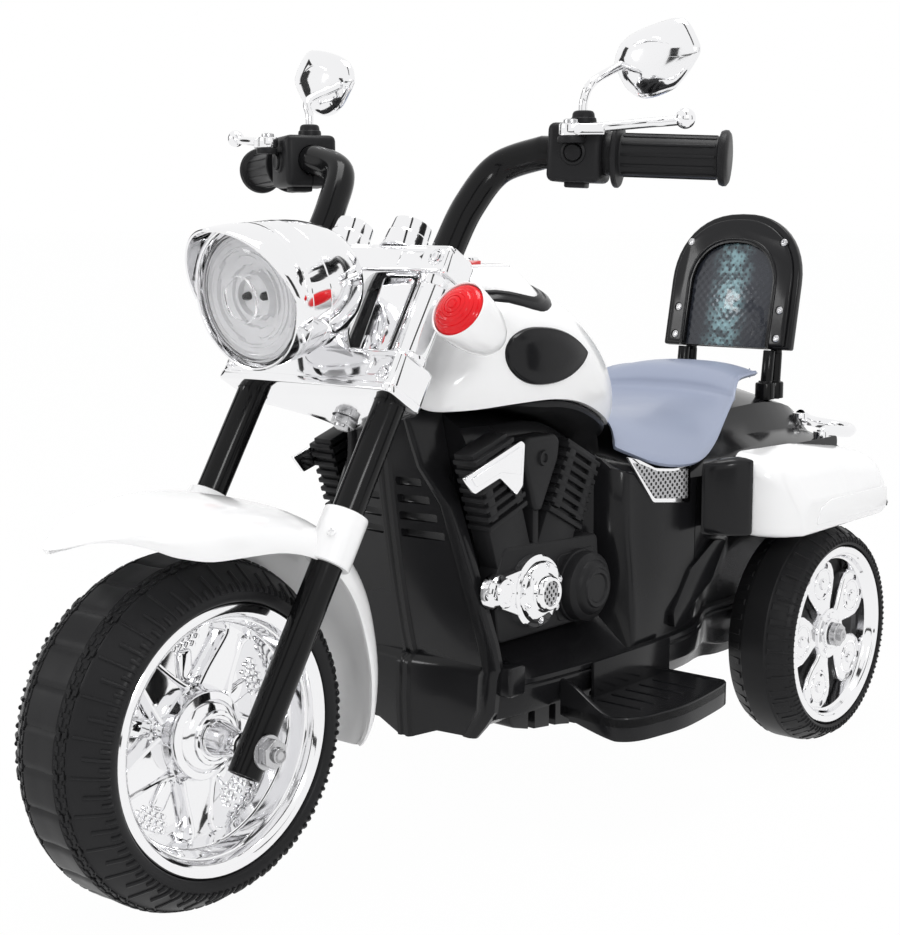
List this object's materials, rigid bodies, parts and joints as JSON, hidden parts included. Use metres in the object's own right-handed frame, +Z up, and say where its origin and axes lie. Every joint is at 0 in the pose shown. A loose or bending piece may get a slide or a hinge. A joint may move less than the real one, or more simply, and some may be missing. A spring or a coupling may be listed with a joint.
{
  "type": "child's ride-on trike",
  "caption": "Child's battery ride-on chopper trike with raked fork, turning handlebar, spoked wheels, moulded seat and arched backrest.",
  "frame": {"origin": "under the middle of the whole vehicle, on the ground", "axes": "+Z up, -Y towards the front wheel, +X to the rider's left"},
  "size_m": [0.4504, 0.8306, 0.5625],
  "materials": {
    "white_gloss": "gloss",
    "black_gloss": "semi-gloss",
    "black_satin": "satin",
    "chrome": "bright plated",
    "tyre": "matt",
    "seat": "satin",
    "red_lens": "gloss",
    "clear_lens": "clear gloss",
    "steel": "plated",
    "panel": "gloss",
    "red_plastic": "gloss",
    "battery": "matt"
  },
  "bodies": {
    "chassis": {"backrest_frame": "black_gloss", "backrest_panel": "panel", "backrest_post_left": "black_gloss", "backrest_post_right": "black_gloss", "battery": "battery", "body_left": "black_gloss", "body_right": "black_gloss", "dash_panel": "white_gloss", "engine_left": "black_satin", "engine_right": "black_satin", "footboard_left": "black_gloss", "footboard_right": "black_gloss", "gear_cover_left": "chrome", "gear_cover_right": "chrome", "gearbox": "battery", "head_cover_left": "chrome", "head_cover_right": "chrome", "head_tube": "black_gloss", "knee_badge_left": "black_gloss", "knee_badge_right": "black_gloss", "radiator_cover": "black_gloss", "rear_axle": "steel", "rear_bumper_left": "chrome", "rear_bumper_right": "chrome", "saddlebag_cover_left": "white_gloss", "saddlebag_cover_right": "white_gloss", "seat": "seat", "tank_shell": "white_gloss", "tank_trim": "black_satin"},
    "steering": {"fork_leg_left": "black_gloss", "fork_leg_right": "black_gloss", "front_axle": "steel", "front_fender": "white_gloss", "hand_grip_left": "black_satin", "hand_grip_right": "black_satin", "handlebar_left": "black_gloss", "handlebar_right": "black_gloss", "headlight_lens": "clear_lens", "headlight_shell": "chrome", "lower_clamp": "chrome", "signal_cup_left": "white_gloss", "signal_cup_right": "white_gloss", "signal_lens_left": "red_lens", "signal_lens_right": "red_lens", "steering_column": "steel", "upper_clamp": "chrome"},
    "front_wheel": {"front_rim": "chrome", "front_tyre": "tyre"},
    "rear_wheel_left": {"rear_rim_left": "chrome", "rear_tyre_left": "tyre"},
    "lever_left": {"brake_lever_left": "chrome"},
    "mirror_arm_left": {"mirror_left": "chrome"},
    "button_left": {"handlebar_button_left": "black_satin"},
    "rear_wheel_right": {"rear_rim_right": "chrome", "rear_tyre_right": "tyre"},
    "lever_right": {"brake_lever_right": "chrome"},
    "mirror_arm_right": {"mirror_right": "chrome"},
    "button_right": {"handlebar_button_right": "black_satin"},
    "rocker": {"power_switch": "red_plastic"},
    "pedal": {"foot_pedal": "black_satin"}
  },
  "joints": [
    {"name": "steering_turn", "type": "hinge", "parent": "chassis", "child": "steering", "pos_m": [0, -0.13798, 0.3222], "axis": [0, 0.5255, 0.8508], "range_deg": [-22, 22]},
    {"name": "front_wheel_spin", "type": "hinge", "parent": "steering", "child": "front_wheel", "pos_m": [0, -0.30275, 0.1125], "axis": [1, 0, 0], "continuous": true},
    {"name": "rear_wheel_left_spin", "type": "hinge", "parent": "chassis", "child": "rear_wheel_left", "pos_m": [0.126, 0.27225, 0.091], "axis": [1, 0, 0], "continuous": true},
    {"name": "lever_left_pull", "type": "hinge", "parent": "steering", "child": "lever_left", "pos_m": [0.1397, -0.08852, 0.48801], "axis": [0, 0, 1], "range_deg": [0, 12], "stiffness_Nm_per_rad": 0.3, "springref_deg": -5.73},
    {"name": "mirror_left_swivel", "type": "hinge", "parent": "steering", "child": "mirror_arm_left", "pos_m": [0.1271, -0.05702, 0.50201], "axis": [0, 0, 1], "range_deg": [-30, 30]},
    {"name": "button_left_press", "type": "slide", "parent": "steering", "child": "button_left", "axis": [-0.4074, 0.9132, 0], "range_m": [0, 0.002], "stiffness_N_per_m": 300, "springref_m": -0.002},
    {"name": "rear_wheel_right_spin", "type": "hinge", "parent": "chassis", "child": "rear_wheel_right", "pos_m": [-0.126, 0.27225, 0.091], "axis": [1, 0, 0], "continuous": true},
    {"name": "lever_right_pull", "type": "hinge", "parent": "steering", "child": "lever_right", "pos_m": [-0.1397, -0.08852, 0.48801], "axis": [0, 0, -1], "range_deg": [0, 12], "stiffness_Nm_per_rad": 0.3, "springref_deg": -5.73},
    {"name": "mirror_right_swivel", "type": "hinge", "parent": "steering", "child": "mirror_arm_right", "pos_m": [-0.1271, -0.05702, 0.50201], "axis": [0, 0, 1], "range_deg": [-30, 30]},
    {"name": "button_right_press", "type": "slide", "parent": "steering", "child": "button_right", "axis": [0.4074, 0.9132, 0], "range_m": [0, 0.002], "stiffness_N_per_m": 300, "springref_m": -0.002},
    {"name": "power_switch_rock", "type": "hinge", "parent": "chassis", "child": "rocker", "pos_m": [0.014, -0.04075, 0.3993], "axis": [1, 0, 0], "range_deg": [-10, 10]},
    {"name": "pedal_press", "type": "hinge", "parent": "chassis", "child": "pedal", "pos_m": [-0.13, 0.04925, 0.0908], "axis": [1, 0, 0], "range_deg": [0, 6], "stiffness_Nm_per_rad": 1, "springref_deg": -5.73}
  ]
}
